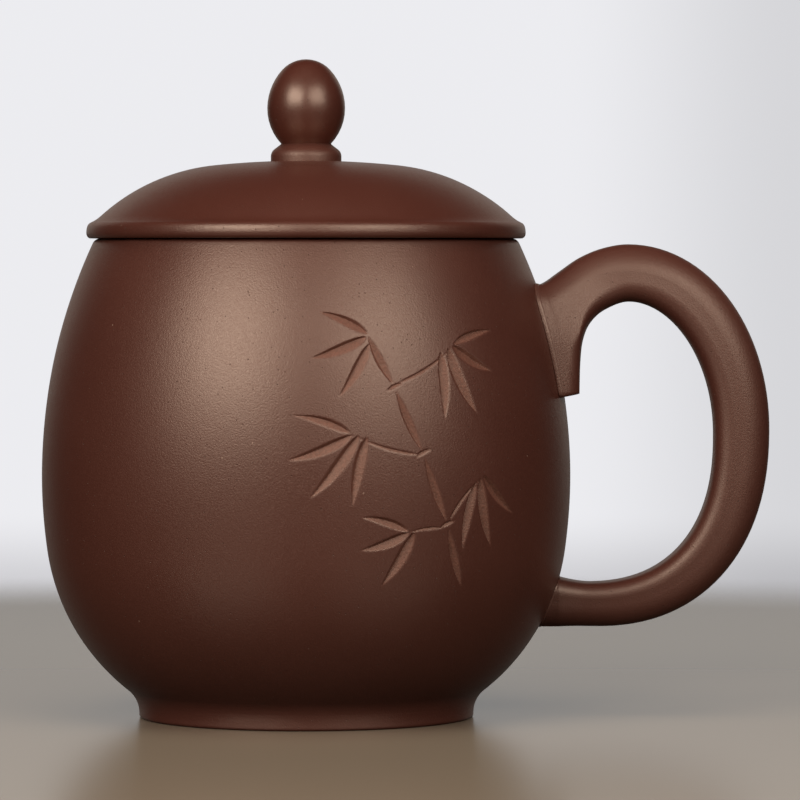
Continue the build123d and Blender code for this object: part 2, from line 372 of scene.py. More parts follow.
@dataclass(frozen=True)
class ClayFinish:
    """Fired clay without a glaze: fine-grained, with a satin sheen where it was burnished."""

    name: str
    colour: Colour = (0.090, 0.0225, 0.0138)
    speck_colour: Colour = (0.30, 0.17, 0.12)
    cut_colour: Colour = (0.185, 0.060, 0.036)
    gloss_tint: Colour = (1.0, 0.76, 0.595)
    gloss_level: float = 1.0
    gloss_index: float = 1.65
    mottle: float = 0.10
    patch_size: float = 22 * MM
    roughness: float = 0.42
    roughness_stray: float = 0.04
    grain_roughness: float = 0.25
    grain_size: float = 0.30 * MM
    grain_height: float = 0.04 * MM
    pale_grain: Span = (0.45, 0.85)
    dapple_size: float = 1.5 * MM
    dapple_height: float = 0.012 * MM
    dapple_stretch: tuple[float, float, float] = (1, 1, 1.6)
    pit_spacing: float = 1.1 * MM
    pit_size: float = 0.13 * MM
    pit_share: float = 0.50
    pit_height: float = 0.05 * MM
    # Share by which the pits are painted darker: painted shade in the small recesses
    pit_painted_shade: float = -0.55
    pit_roughness: float = 0.7
    speck_spacing: float = 5.0 * MM
    speck_size: float = 0.20 * MM
    speck_share: float = 0.30
    crumb_size: float = 0.5 * MM
    crumb_height: float = 0.10 * MM
    crumb_shade: float = -0.25
    pale_crumbs: Span = (0.35, 0.7)
    cut_roughness: float = 0.62
    carved: bool = False

    def material(self) -> bpy.types.Material:
        """Build the finish's material.

        Returns:
            The material, made anew.
        """
        shade = Shade(self.name)
        patches = shade.cloud(self.patch_size, detail=3)
        grain = shade.cloud(self.grain_size)
        dapple = shade.cloud(self.dapple_size, stretch=self.dapple_stretch)
        pits = shade.dots(self.pit_spacing, self.pit_size, self.pit_share)
        specks = shade.dots(self.speck_spacing, self.speck_size, self.speck_share)
        colour = shade.tint(patches, shaded(self.colour, -self.mottle), shaded(self.colour, self.mottle))
        pale = shade.span(grain, *self.pale_grain)
        colour = shade.tint(pale, colour, shaded(self.colour, 2 * self.mottle))
        # The pits are painted darker as painted shade in their recesses, which the bump below sinks
        colour = shade.tint(pits, colour, shaded(self.colour, self.pit_painted_shade))
        colour = shade.tint(specks, colour, self.speck_colour)
        stray = self.roughness_stray
        rough = shade.sum("MULTIPLY_ADD", patches, 2 * stray, self.roughness - stray)
        uneven = shade.sum("SUBTRACT", grain, NOISE_MIDDLE)
        rough = shade.sum("MULTIPLY_ADD", uneven, self.grain_roughness, rough)
        rough = shade.sum("MAXIMUM", rough, shade.sum("MULTIPLY", pits, self.pit_roughness))
        normal = shade.raise_by(self.dapple_height, dapple)
        normal = shade.raise_by(self.grain_height, grain, normal)
        normal = shade.raise_by(-self.pit_height, pits, normal)
        if self.carved:
            cut = shade.add("ShaderNodeAttribute", attribute_name=Carving.ATTRIBUTE).outputs["Fac"]
            crumbs = shade.cloud(self.crumb_size, detail=3)
            pale = shade.span(crumbs, *self.pale_crumbs)
            crumbled = shade.tint(pale, shaded(self.cut_colour, self.crumb_shade), self.cut_colour)
            colour = shade.tint(cut, colour, crumbled)
            rough = shade.sum("MAXIMUM", rough, shade.sum("MULTIPLY", cut, self.cut_roughness))
            normal = shade.raise_by(self.crumb_height, shade.sum("MULTIPLY", crumbs, cut), normal)
        looks = {
            "IOR": self.gloss_index,
            "Specular IOR Level": self.gloss_level,
            "Specular Tint": (*self.gloss_tint, 1.0),
            "Base Color": colour,
            "Roughness": rough,
            "Normal": normal,
        }
        for name, value in looks.items():
            shade.feed(shade.shader.inputs[name], value)
        return shade.material


RED_CLAY = ClayFinish("red_clay")
CARVED_CLAY = ClayFinish("carved_clay", carved=True)
CLAY_SLIP = ClayFinish("clay_slip", colour=(0.11, 0.037, 0.025))
HANDLE_CLAY = ClayFinish("handle_clay", roughness=0.48)
LID_CLAY = ClayFinish("lid_clay", roughness=0.39)
KNOB_CLAY = ClayFinish("knob_clay", roughness=0.35, grain_height=0.02 * MM, grain_roughness=0.12)
COLLAR_CLAY = ClayFinish("collar_clay", roughness=0.50)


def as_piece(bm: BMesh, node: str, body: Body, material: bpy.types.Material) -> None:
    """Make a mesh the piece that stands for a node of the frame.

    Args:
        bm: The piece's mesh, which is used up.
        node: The node that it replaces. The piece is named for it.
        body: The body that it rides on.
        material: Its material.
    """
    mesh = bpy.data.meshes.new(f"{node}_clay")
    bm.to_mesh(mesh)
    bm.free()
    mesh.shade_smooth()
    mesh.set_sharp_from_angle(angle=CREASE_ANGLE)
    mesh.materials.append(material)
    piece = bpy.data.objects.new(mesh.name, mesh)
    bpy.context.scene.collection.objects.link(piece)
    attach(piece, body.value)
    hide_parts(node)
    mesh.calc_loop_triangles()
    log.info("%s: %d triangles, on %s", piece.name, len(mesh.loop_triangles), body.value)


@dataclass(frozen=True)
class Stroke:
    """One cut of the carver's knife, on the barrel's front laid out flat."""

    STEPS: ClassVar[int] = 14
    TAPER_POWER: ClassVar[float] = 0.8

    start: Vector
    end: Vector
    width: float
    bow: float
    fullness: float = 0.5

    def points(self) -> list[Vector]:
        """Lay the cut's middle line.

        Returns:
            Its points, from its start to its end.
        """
        run = self.end - self.start
        bend = (self.start + self.end) / 2 + Vector((-run.y, run.x)) * self.bow
        shares = [index / self.STEPS for index in range(self.STEPS + 1)]
        return [self.start * (1 - t) ** 2 + bend * 2 * t * (1 - t) + self.end * t**2 for t in shares]

    def half_width(self, share: float) -> float:
        """Half the cut's width, most at its fullness and nothing at its pointed ends.

        Args:
            share: The share of the cut's length.

        Returns:
            The half width there.
        """
        power = math.log(0.5) / math.log(self.fullness)
        swell = math.sin(math.pi * min(1.0, max(0.0, share)) ** power)
        return self.width / 2 * swell**self.TAPER_POWER

    def sloping_side(self) -> float:
        """1 where the cut's sloping side is on the left of its run, and -1 where it is on the right."""
        run = self.end - self.start
        return math.copysign(1.0, -run.x - run.y)


@dataclass
class Carving:
    """A bamboo sprig cut into the barrel's front, each cut with one steep side and one sloping side."""

    ATTRIBUTE: ClassVar[str] = "cut"

    # Where each cut of the stalk starts and ends on the front laid out flat, in millimetres: its way round
    # from the middle towards the handle, and its height
    STALK: ClassVar[list[tuple[Place, Place]]] = [
        ((31, 27), (28, 38)),
        ((27.7, 39), (23, 51)),
        ((22.6, 52), (17.4, 63)),
        ((17, 64), (12, 73)),
    ]

    # The same for the joints between the stalk's cuts
    JOINTS: ClassVar[list[tuple[Place, Place]]] = [
        ((26.2, 37.9), (29.6, 39.2)),
        ((21.2, 50.8), (24.5, 52.3)),
        ((15.6, 62.8), (18.9, 64.3)),
    ]

    # The same for the twigs, with the share of their length by which their bend lies to the left
    TWIGS: ClassVar[list[tuple[Place, Place, float]]] = [
        ((28.3, 39.4), (36, 47.2), 0.10),
        ((22.0, 51.4), (9, 55.2), 0.10),
        ((17.6, 64.2), (29.5, 71), -0.10),
        ((26.6, 38.0), (19.5, 37.2), -0.08),
    ]

    # The same for the leaves, with their width in millimetres before that share
    LEAVES: ClassVar[list[tuple[Place, Place, float, float]]] = [
        ((9.2, 55.0), (-2.5, 50.5), 2.1, 0.10),
        ((10.4, 54.9), (1.5, 43.6), 2.5, 0.08),
        ((12.0, 54.6), (9.4, 42.0), 2.3, -0.06),
        ((8.8, 55.4), (-1.5, 58.6), 1.7, -0.10),
        ((29.2, 70.9), (38.6, 66.2), 2.1, -0.10),
        ((28.2, 70.5), (34.6, 58.6), 2.5, -0.08),
        ((26.6, 69.8), (27.3, 57.6), 2.3, 0.06),
        ((29.4, 71.2), (39.0, 73.6), 1.7, 0.10),
        ((34.2, 45.8), (31.2, 33.8), 2.1, -0.06),
        ((35.4, 46.8), (38.0, 34.2), 2.4, -0.08),
        ((36.0, 47.3), (44.0, 40.0), 2.0, -0.10),
        ((12.0, 73.2), (3.0, 77.2), 1.8, -0.08),
        ((11.8, 72.6), (1.6, 68.8), 2.2, 0.08),
        ((12.4, 71.4), (6.8, 61.8), 2.1, 0.08),
        ((20.0, 37.3), (10.6, 34.2), 2.0, 0.10),
        ((21.0, 37.3), (14.6, 27.6), 2.3, 0.08),
        ((19.8, 37.5), (10.8, 40.2), 1.7, -0.10),
    ]

    steepest: float = 0.75
    deepest: float = 0.70 * MM
    pale_depth: float = 0.14 * MM
    valley: float = -0.50
    lip: float = 0.35 * MM
    finest: float = 0.16 * MM
    stalk_width: float = 1.7 * MM
    stalk_bow: float = 0.02
    joint_width: float = 0.9 * MM
    joint_bow: float = 0.12
    twig_width: float = 0.75 * MM
    twig_fullness: float = 0.35
    leaf_fullness: float = 0.38

    def __post_init__(self) -> None:
        """Lay out the sprig: its stalk from joint to joint, its twigs and the leaves on them."""
        drawn = [(*ends, self.stalk_width, self.stalk_bow) for ends in self.STALK]
        drawn += [(*ends, self.joint_width, self.joint_bow) for ends in self.JOINTS]
        drawn += [(*ends, self.twig_width, bow, self.twig_fullness) for *ends, bow in self.TWIGS]
        drawn += [(*ends, width * MM, bow, self.leaf_fullness) for *ends, width, bow in self.LEAVES]
        strokes = [Stroke(Vector(start) * MM, Vector(end) * MM, *shape) for start, end, *shape in drawn]
        self.runs = [(stroke, stroke.points()) for stroke in strokes]

    def nearby(self, place: Vector, margin: float) -> bool:
        """Whether a place of the front laid out flat is in a cut or within a margin of its edge."""
        return any(gap < margin for gap, _, _ in self.gaps(place, margin))

    def gaps(self, place: Vector, margin: float) -> list[tuple[float, float, float]]:
        """Distances from a place to the cuts near it.

        Args:
            place: The place on the front laid out flat.
            margin: Cuts whose edge is further off than this are passed over.

        Returns:
            For each cut, the distance outside its edge, the share of its half width off its middle line,
            with its steep side negative, and its half width there.
        """
        found = []
        for stroke, points in self.runs:
            reach = stroke.width + margin + (stroke.end - stroke.start).length / 2
            if (place - (stroke.start + stroke.end) / 2).length > reach:
                continue
            best = None
            for index, (start, end) in enumerate(zip(points, points[1:])):
                run = end - start
                share = max(0.0, min(1.0, (place - start).dot(run) / run.length_squared))
                off = place - (start + run * share)
                if best is None or off.length < best[0]:
                    best = (off.length, (index + share) / stroke.STEPS, math.copysign(1.0, run.cross(off)))
            distance, share, side = best
            half = stroke.half_width(share)
            if distance - half < margin:
                across = stroke.sloping_side() * side * distance / max(half, MERGE_DISTANCE)
                found.append((distance - half, across, half))
        return found

    def depth(self, place: Vector) -> float:
        """How deep the knife went at a place.

        Args:
            place: The place on the front laid out flat.

        Returns:
            The depth, or zero outside the cuts.
        """
        deepest = 0.0
        for gap, across, half in self.gaps(place, 0.0):
            if gap < 0:
                floor = min(self.deepest, self.steepest * half)
                rise = min((across + 1) / (self.valley + 1), (1 - across) / (1 - self.valley))
                deepest = max(deepest, floor * rise)
        return deepest


@dataclass
class Cup:
    """The round barrel with its base, foot ring and mouth ring."""

    belly_height: float = 45.9 * MM
    mouth_reach: float = 39.9 * MM
    haunch_drop: float = 14.1 * MM
    wall: float = 3.6 * MM
    bore_reach: float = 36.0 * MM
    foot_reach: float = 31.7 * MM
    foot_side: float = 0.8 * MM
    foot_cove_radius: float = 5.7 * MM
    foot_ring_width: float = 4.1 * MM
    foot_rounding: float = 0.6 * MM
    mouth_outer_rounding: float = 1.6 * MM
    mouth_inner_rounding: float = 0.5 * MM
    swell: float = 0.05 * MM
    swell_spread: float = 17 * MM
    wheel_groove: float = 0.05 * MM
    wheel_pitch: float = 3.4 * MM
    carving: Carving = field(default_factory=Carving)

    def __post_init__(self) -> None:
        """Take the heights and reaches that the frame gives, and work out the barrel's arcs from them."""
        low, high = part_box("body_wall")
        self.belly_reach, self.wall_low, self.wall_top = high.y, low.z, high.z
        self.mouth_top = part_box("mouth_ring")[1].z
        self.base_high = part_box("base_disc")[1]
        lean = self.belly_reach - self.mouth_reach
        rise = self.mouth_top - self.belly_height
        self.shoulder_radius = (rise**2 + lean**2) / (2 * lean)
        self.shoulder_centre = Vector((self.belly_reach - self.shoulder_radius, self.belly_height))
        self.haunch_height = self.belly_height - self.haunch_drop
        drop = math.asin(-self.haunch_drop / self.shoulder_radius)
        self.haunch_normal = Vector((math.cos(drop), math.sin(drop)))
        haunch_point = self.shoulder_centre + self.haunch_normal * self.shoulder_radius
        self.cove_centre = Vector((self.foot_reach + self.foot_cove_radius, self.foot_side))
        self.haunch_radius = joining_radius(
            haunch_point, self.haunch_normal, self.cove_centre, self.foot_cove_radius
        )
        self.haunch_centre = haunch_point - self.haunch_normal * self.haunch_radius
        share = self.haunch_radius / (self.haunch_radius + self.foot_cove_radius)
        self.hip_height = self.haunch_centre.lerp(self.cove_centre, share).y
        self.inner_point = haunch_point - self.haunch_normal * self.wall
        floor_edge = Vector((self.base_high.x, self.base_high.z))
        self.inner_radius = joining_radius(self.inner_point, self.haunch_normal, floor_edge, 0)
        self.inner_centre = self.inner_point - self.haunch_normal * self.inner_radius

    def reach(self, height: float) -> float:
        """How far the barrel's outer face is from the axis.

        Args:
            height: The height, above the foot's cove.

        Returns:
            The distance.
        """
        centre, radius = self.shoulder_centre, self.shoulder_radius
        if height <= self.haunch_height:
            centre, radius = self.haunch_centre, self.haunch_radius
        return centre.x + math.sqrt(radius**2 - (height - centre.y) ** 2)

    def wall_x(self, y: float, z: float) -> float:
        """Where the barrel's outer face is towards the handle, at a place across and a height."""
        return math.sqrt(self.reach(z) ** 2 - y**2)

    def laid_out(self, point: Vector) -> Vector:
        """A point of the barrel's outer face on the front laid out flat: its way round and its height."""
        return Vector((math.atan2(point.x, -point.y) * self.reach(point.z), point.z))

    def on_outside(self, point: Vector) -> bool:
        """Whether a point lies on the barrel's outer face, in front and above the hip.

        Args:
            point: The point.

        Returns:
            Whether it does.
        """
        if point.y >= 0 or not self.hip_height < point.z < self.wall_top:
            return False
        return point.xy.length > self.reach(point.z) - self.wall / 2

    def build(self, clay: ClayFinish, carved: ClayFinish) -> None:
        """Build the barrel and its rings.

        Args:
            clay: The finish of the rings and the base.
            carved: The finish of the barrel.
        """
        material = clay.material()
        as_piece(self.barrel(), "body_wall", Body.CUP, carved.material())
        as_piece(self.base(), "base_disc", Body.CUP, material)
        as_piece(self.foot_ring(), "foot_ring", Body.CUP, material)
        as_piece(self.mouth_ring(), "mouth_ring", Body.CUP, material)

    def barrel(self) -> BMesh:
        """Turn the barrel, with shallow wheel grooves inside, and carve its front.

        Returns:
            The barrel's mesh.
        """
        outer = arc(self.cove_centre, self.foot_cove_radius, self.wall_low, self.hip_height, Side.HOLLOW)
        outer += arc(self.haunch_centre, self.haunch_radius, self.hip_height, self.haunch_height)
        outer += arc(self.shoulder_centre, self.shoulder_radius, self.haunch_height, self.wall_top)
        inner_shoulder = self.shoulder_radius - self.wall
        inner = arc(self.shoulder_centre, inner_shoulder, self.wall_top, self.inner_point.y)
        inner += arc(self.inner_centre, self.inner_radius, self.inner_point.y, self.base_high.z)
        grooved = [point + Vector((self.groove(point.y), 0)) for point in inner[1:-1]]
        foot = Vector((self.base_high.x, self.wall_low))
        bm = turned([*outer, inner[0], *grooved, inner[-1], foot])
        self.carve(bm)
        waver(bm, self.swell, self.swell_spread)
        return bm

    def groove(self, height: float) -> float:
        """Depth of the wheel grooves inside the barrel at a height."""
        return self.wheel_groove * math.sin(math.tau * height / self.wheel_pitch)

    def carve(self, bm: BMesh) -> None:
        """Cut the sprig into the barrel's front, where the mesh is first made fine enough for it.

        Args:
            bm: The barrel's mesh.
        """
        spacing = ROW_SPACING
        while spacing > self.carving.finest:
            margin = self.carving.lip + spacing / 2
            near = [
                face
                for face in bm.faces
                if self.on_outside(face.calc_center_median())
                and self.carving.nearby(self.laid_out(face.calc_center_median()), margin)
            ]
            edges = list({edge for face in near for edge in face.edges})
            split = bmesh.ops.subdivide_edges(bm, edges=edges, cuts=1, use_grid_fill=True)
            for vert in (part for part in split["geom_inner"] if isinstance(part, BMVert)):
                vert.co.xy *= self.reach(vert.co.z) / vert.co.xy.length
            spacing /= 2
        bmesh.ops.dissolve_degenerate(bm, dist=MERGE_DISTANCE, edges=bm.edges)
        cut = bm.verts.layers.float.new(Carving.ATTRIBUTE)
        for vert in bm.verts:
            if self.on_outside(vert.co):
                depth = self.carving.depth(self.laid_out(vert.co))
                vert.co.xy *= 1 - depth / vert.co.xy.length
                vert[cut] = min(1.0, depth / self.carving.pale_depth)

    def base(self) -> BMesh:
        """Turn the base disc, with the wheel's grooves on its upper face.

        Returns:
            The base's mesh.
        """
        reach, top = self.base_high.x, self.base_high.z
        count = round(reach / ROW_SPACING)
        across = [reach * index / count for index in range(count + 1)]
        floor = [Vector((x, top - abs(self.groove(x)) * (x < reach))) for x in across]
        under = corners((0, self.wall_low), (reach, self.wall_low))
        return turned([*under, *reversed(floor)], closed=False)

    def foot_ring(self) -> BMesh:
        """Turn the foot ring and round its resting edges.

        Returns:
            The foot ring's mesh.
        """
        inside = self.foot_reach - self.foot_ring_width
        side = arc(self.cove_centre, self.foot_cove_radius, self.foot_side, self.wall_low, Side.HOLLOW)
        under = corners((inside, self.wall_low), (inside, 0), (self.foot_reach, 0))
        bm = turned([*under, *side])
        round_rim(bm, inside, 0, self.foot_rounding)
        round_rim(bm, self.foot_reach, 0, self.foot_rounding)
        waver(bm, self.swell, self.swell_spread)
        return bm

    def mouth_ring(self) -> BMesh:
        """Turn the mouth ring and round its upper edges.

        Returns:
            The mouth ring's mesh.
        """
        rounding = self.mouth_outer_rounding
        rise = self.mouth_top - rounding - self.shoulder_centre.y
        run = math.sqrt((self.shoulder_radius - rounding) ** 2 - rise**2)
        to_lip = Vector((run, rise))
        lip = self.shoulder_centre + to_lip
        meeting = self.shoulder_centre + to_lip.normalized() * self.shoulder_radius
        side = arc(self.shoulder_centre, self.shoulder_radius, self.wall_top, meeting.y)
        side += arc(lip, rounding, meeting.y, self.mouth_top)
        bore = corners((self.bore_reach, self.mouth_top), (self.bore_reach, self.wall_top))
        bm = turned([*side, *bore])
        round_rim(bm, self.bore_reach, self.mouth_top, self.mouth_inner_rounding)
        waver(bm, self.swell, self.swell_spread)
        return bm


def through_four(a: float, b: float, c: float, d: float, share: float) -> float:
    """Value of a smooth curve through four even steps, at a share of the way from the second to the third.

    Args:
        a: The first value.
        b: The second value.
        c: The third value.
        d: The fourth value.
        share: The share of the way.

    Returns:
        The value there.
    """
    slope, bend, turn = c - a, 2 * a - 5 * b + 4 * c - d, 3 * b - a - 3 * c + d
    return 0.5 * (2 * b + slope * share + bend * share**2 + turn * share**3)


@dataclass(frozen=True)
class Section:
    """A cross section of the handle: round-cornered, with flanks that lean in towards the loop's outside."""

    CORNER_SEGMENTS: ClassVar[int] = 8
    FLANK_CUTS: ClassVar[int] = 20

    centre: Vector
    out: Vector
    width: float
    depth: float
    outer_rounding: float
    inner_rounding: float
    lean: float

    def in_upper_half(self) -> bool:
        """Whether the loop's outside is above the section, as it is from the upper root to the grip."""
        return self.out.z > 0

    def ring(self, bm: BMesh) -> list[BMEdge]:
        """Lay the section out in a mesh, with its corners bevelled round and points along its flanks.

        Args:
            bm: The mesh.

        Returns:
            The ring's edges, with no face in them.
        """
        across = Vector((0, 1, 0))
        axes = Matrix((across * self.width, self.out * self.depth, across.cross(self.out)))
        place = axes.transposed().to_4x4()
        place.translation = self.centre
        verts = bmesh.ops.create_grid(bm, x_segments=1, y_segments=1, size=0.5, matrix=place)["verts"]
        outer = [vert for vert in verts if (vert.co - self.centre).dot(self.out) > 0]
        inner = [vert for vert in verts if vert not in outer]
        for pair, rounding in ((outer, self.outer_rounding), (inner, self.inner_rounding)):
            made = bmesh.ops.bevel(
                bm,
                geom=pair,
                offset=rounding,
                affect="VERTICES",
                segments=self.CORNER_SEGMENTS,
                profile=0.5,
                material=-1,
            )
        face = made["verts"][0].link_faces[0]
        edges = list(face.edges)
        bm.faces.remove(face)
        flanks = [edge for edge in edges if all(self.on_flank(vert) for vert in edge.verts)]
        split = bmesh.ops.subdivide_edges(bm, edges=flanks, cuts=self.FLANK_CUTS)["geom_split"]
        ring = list({*edges, *(part for part in split if isinstance(part, BMEdge))})
        for vert in {vert for edge in ring for vert in edge.verts}:
            along = (vert.co - self.centre).dot(self.out)
            vert.co.y *= 1 - 2 * math.tan(self.lean) * along / self.width
        return ring

    def on_flank(self, vert: BMVert) -> bool:
        """Whether a vertex lies on one of the section's two sides."""
        return abs(abs(vert.co.y) - self.width / 2) < MERGE_DISTANCE


@dataclass
class Handle:
    """The loop handle, with a flat-ended tongue above and a small root below, each on a bead of slip."""

    # The upper root's sections from the arch to the wall: shares of its top end's way out and down, of its
    # lower end's way out and down, and of its smaller side in its inner corners' rounding. The first row is
    # beyond the arch and gives the line its level start.
    FAN_SHARES: ClassVar[list[tuple[float, ...]]] = [
        (-0.28, 0.10, -0.48, 0.09, 0.34),
        (0.00, 0.00, 0.00, 0.00, 0.34),
        (0.28, 0.10, 0.48, 0.09, 0.32),
        (0.53, 0.33, 0.77, 0.23, 0.27),
        (0.74, 0.65, 0.92, 0.41, 0.17),
        (0.88, 0.88, 0.98, 0.65, 0.06),
        (0.95, 0.97, 1.00, 1.00, 0.03),
    ]

    # The bead of slip from the root down to the wall: shares of its height and of its bulge
    BEAD_SHARES: ClassVar[list[tuple[float, float]]] = [
        (1.00, 0.00),
        (0.93, 0.50),
        (0.75, 0.80),
        (0.40, 1.00),
        (0.12, 0.90),
        (0.00, 0.40),
    ]

    cup: Cup
    finger_gap: float = 27.2 * MM
    grip_height: float = 54.0 * MM
    grip_depth: float = 10.5 * MM
    arch_top: float = 89.5 * MM
    arch_beyond_belly: float = 10.9 * MM
    arch_depth: float = 10.85 * MM
    arch_width: float = 12.0 * MM
    heel_height: float = 17.2 * MM
    heel_beyond_belly: float = 3.9 * MM
    heel_depth: float = 8.25 * MM
    heel_width: float = 11.0 * MM
    bend_swell: float = 0.2 * MM
    flank_lean: float = math.radians(8)
    upper_bend_power: float = 2.0
    lower_bend_power: float = 2.3
    lower_root_height: float = 21.8 * MM
    lower_root_stand: float = 1.4 * MM
    lower_root_power: float = 1.5
    lower_root_depth: float = 9.3 * MM
    lower_root_width: float = 12.8 * MM
    root_top: float = 81.7 * MM
    root_top_rounding: float = 3.8 * MM
    root_width: float = 23.0 * MM
    root_narrowing: float = 0.025 / MM
    root_narrowing_height: float = 70.0 * MM
    root_flare_reach: float = 17.0 * MM
    root_flare_onset: float = 0.5
    tongue_length: float = 20.3 * MM
    tongue_stand: float = 2.65 * MM
    tongue_fall: float = 0.185
    tongue_rounding: float = 2.2 * MM
    tongue_rounding_low: float = 70.0 * MM
    tongue_rounding_high: float = 78.0 * MM
    outer_corner_share: float = 0.46
    inner_corner_share: float = 0.34
    bead_height: float = 0.85 * MM
    lower_bead_height: float = 0.35 * MM
    bead_bulge: float = 0.20 * MM
    flat_end_facing: float = -0.7
    flat_end_bulge_share: float = 0.2
    fan_sections: int = 40
    loop_sections: int = 60
    lower_sections: int = 8
    root_steps: int = 5

    def __post_init__(self) -> None:
        """Work out the places that the handle's sections hang on."""
        belly = self.cup.belly_reach
        self.grip_reach = belly + self.finger_gap + self.grip_depth / 2
        self.arch_reach = belly + self.arch_beyond_belly
        self.heel_reach = belly + self.heel_beyond_belly
        self.tongue_tip = self.root_top - self.tongue_length
        self.tongue_reach = self.cup.reach(self.tongue_tip) + self.tongue_stand
        shares = [index / self.fan_sections for index in range(self.fan_sections + 1)]
        self.face_line = [self.fan_ends(share)[1] for share in shares]

    def section(self, top: Vector, low: Vector, width: float, inner_share: float | None = None) -> Section:
        """A section between two points of the side view.

        Args:
            top: Its end on the outside of the loop, as X and Z.
            low: Its end on the inside of the loop.
            width: Its width across the handle.
            inner_share: Share of its smaller side in its inner corners' rounding, or None for the loop's.

        Returns:
            The section.
        """
        middle, out = (top + low) / 2, (top - low).normalized()
        depth = (top - low).length
        smaller = min(width, depth)
        return Section(
            Vector((middle.x, 0, middle.y)),
            Vector((out.x, 0, out.y)),
            width,
            depth,
            smaller * self.outer_corner_share,
            smaller * (self.inner_corner_share if inner_share is None else inner_share),
            self.flank_lean,
        )

    def fan_ends(self, share: float) -> tuple[Vector, Vector, float]:
        """Ends of the upper root's section at a share of the way from the arch to the wall.

        Args:
            share: The share of the way.

        Returns:
            Its top end and its lower end, as X and Z, and the share of its inner corners' rounding.
        """
        rows = self.FAN_SHARES
        place = 1 + share * (len(rows) - 2)
        index = min(int(place), len(rows) - 2)
        four = [rows[min(row, len(rows) - 1)] for row in range(index - 1, index + 3)]
        top_out, top_down, low_out, low_down, corner = (
            through_four(*values, place - index) for values in zip(*four)
        )
        start = Vector((self.arch_reach, self.arch_top))
        top_way = Vector((self.cup.reach(self.root_top) - start.x, self.root_top - start.y))
        inner = start - Vector((0, self.arch_depth))
        low_way = Vector((self.tongue_reach, self.tongue_tip)) - inner
        top = start + Vector((top_way.x * top_out, top_way.y * top_down))
        low = inner + Vector((low_way.x * low_out, low_way.y * low_down))
        return top, low, corner

    def fan_section(self, share: float) -> Section:
        """Section of the upper root.

        Args:
            share: The share of the way from the arch to the wall.

        Returns:
            The section.
        """
        top, low, corner = self.fan_ends(share)
        middle = (top + low) / 2
        section = self.section(top, low, self.width_at(middle.x, middle.y), corner)
        rod_rounding = self.arch_depth * self.outer_corner_share
        rounding = rod_rounding + (self.root_top_rounding - rod_rounding) * share
        return replace(section, outer_rounding=rounding, lean=self.flank_lean * (1 - share))

    def face_reach(self, z: float) -> float:
        """How far out the tongue's outer face is.

        Args:
            z: The height.

        Returns:
            The face's distance from the axis, in the side view.
        """
        for high, low in zip(self.face_line, self.face_line[1:]):
            if z > low.y:
                return low.x + (high.x - low.x) * min(1.0, (z - low.y) / (high.y - low.y))
        return self.tongue_reach

    def width_at(self, x: float, z: float) -> float:
        """Width of the upper root: full at the wall, the rod's own further out, less at the tongue's edge.

        Args:
            x: How far out the place is in the side view.
            z: The place's height.

        Returns:
            The width.
        """
        at_wall = self.root_width - self.root_narrowing * max(0.0, z - self.root_narrowing_height) ** 2
        onset = self.root_flare_onset
        nearness = max(0.0, 1 - (x - self.cup.reach(z)) / self.root_flare_reach)
        growth = nearness**2 / (2 * onset) if nearness < onset else nearness - onset / 2
        flared = self.arch_width + (at_wall - self.arch_width) * growth / (1 - onset / 2)
        fade = (self.tongue_rounding_high - z) / (self.tongue_rounding_high - self.tongue_rounding_low)
        rounding = self.tongue_rounding * min(1.0, max(0.0, fade))
        short = min(rounding, max(0.0, rounding - self.face_reach(z) + x))
        return flared - 2 * (rounding - math.sqrt(rounding**2 - short**2))

    def loop_section(self, share: float) -> Section:
        """Section of the loop.

        Args:
            share: The share of the way round from the arch to the heel.

        Returns:
            The section.
        """
        upper = share < 0.5
        hub = self.arch_reach if upper else self.heel_reach
        end = self.arch_top - self.arch_depth / 2 if upper else self.heel_height + self.heel_depth / 2
        across, upright = self.grip_reach - hub, end - self.grip_height
        power = self.upper_bend_power if upper else self.lower_bend_power
        turn = abs(math.pi / 2 - math.pi * share)
        sine, cosine = math.sin(turn), max(0.0, math.cos(turn))
        x = hub + across * cosine ** (2 / power)
        z = self.grip_height + upright * sine ** (2 / power)
        middle = Vector((x, z))
        out = Vector((cosine ** (2 - 2 / power) / across, sine ** (2 - 2 / power) / upright)).normalized()
        ends = (self.arch_depth, self.grip_depth) if upper else (self.grip_depth, self.heel_depth)
        way = 2 * share if upper else 2 * share - 1
        depth = ends[0] + (ends[1] - ends[0]) * way + self.bend_swell * math.sin(math.pi * way)
        width = self.arch_width + (self.heel_width - self.arch_width) * share
        return self.section(middle + out * depth / 2, middle - out * depth / 2, width)

    def lower_section(self, share: float) -> Section:
        """Section of the lower root.

        Args:
            share: The share of the way from the heel towards the wall.

        Returns:
            The section.
        """
        swell = share**2
        end = self.cup.reach(self.lower_root_height) + self.lower_root_stand
        x = self.heel_reach + (end - self.heel_reach) * share
        heel_middle = self.heel_height + self.heel_depth / 2
        z = heel_middle + (self.lower_root_height - heel_middle) * share**self.lower_root_power
        depth = self.heel_depth + (self.lower_root_depth - self.heel_depth) * swell
        width = self.heel_width + (self.lower_root_width - self.heel_width) * swell
        return self.section(Vector((x, z - depth / 2)), Vector((x, z + depth / 2)), width)

    def sections(self) -> list[Section]:
        """Lay out the handle.

        Returns:
            All its sections, from the upper root round to the lower root.
        """
        fan, loop, low = self.fan_sections, self.loop_sections, self.lower_sections
        made = [self.fan_section(1 - index / fan) for index in range(fan)]
        made += [self.loop_section(index / loop) for index in range(loop + 1)]
        made += [self.lower_section((index + 1) / low) for index in range(low)]
        return made

    def widen(self, vert: BMVert, before: Vector) -> None:
        """Give a vertex of the upper root the width of its new place.

        Args:
            vert: The vertex, already moved in the side view.
            before: The place whose width it has now.
        """
        if vert.co.z > self.lower_root_height + self.lower_root_depth:
            vert.co.y *= self.width_at(vert.co.x, vert.co.z) / self.width_at(before.x, before.z)

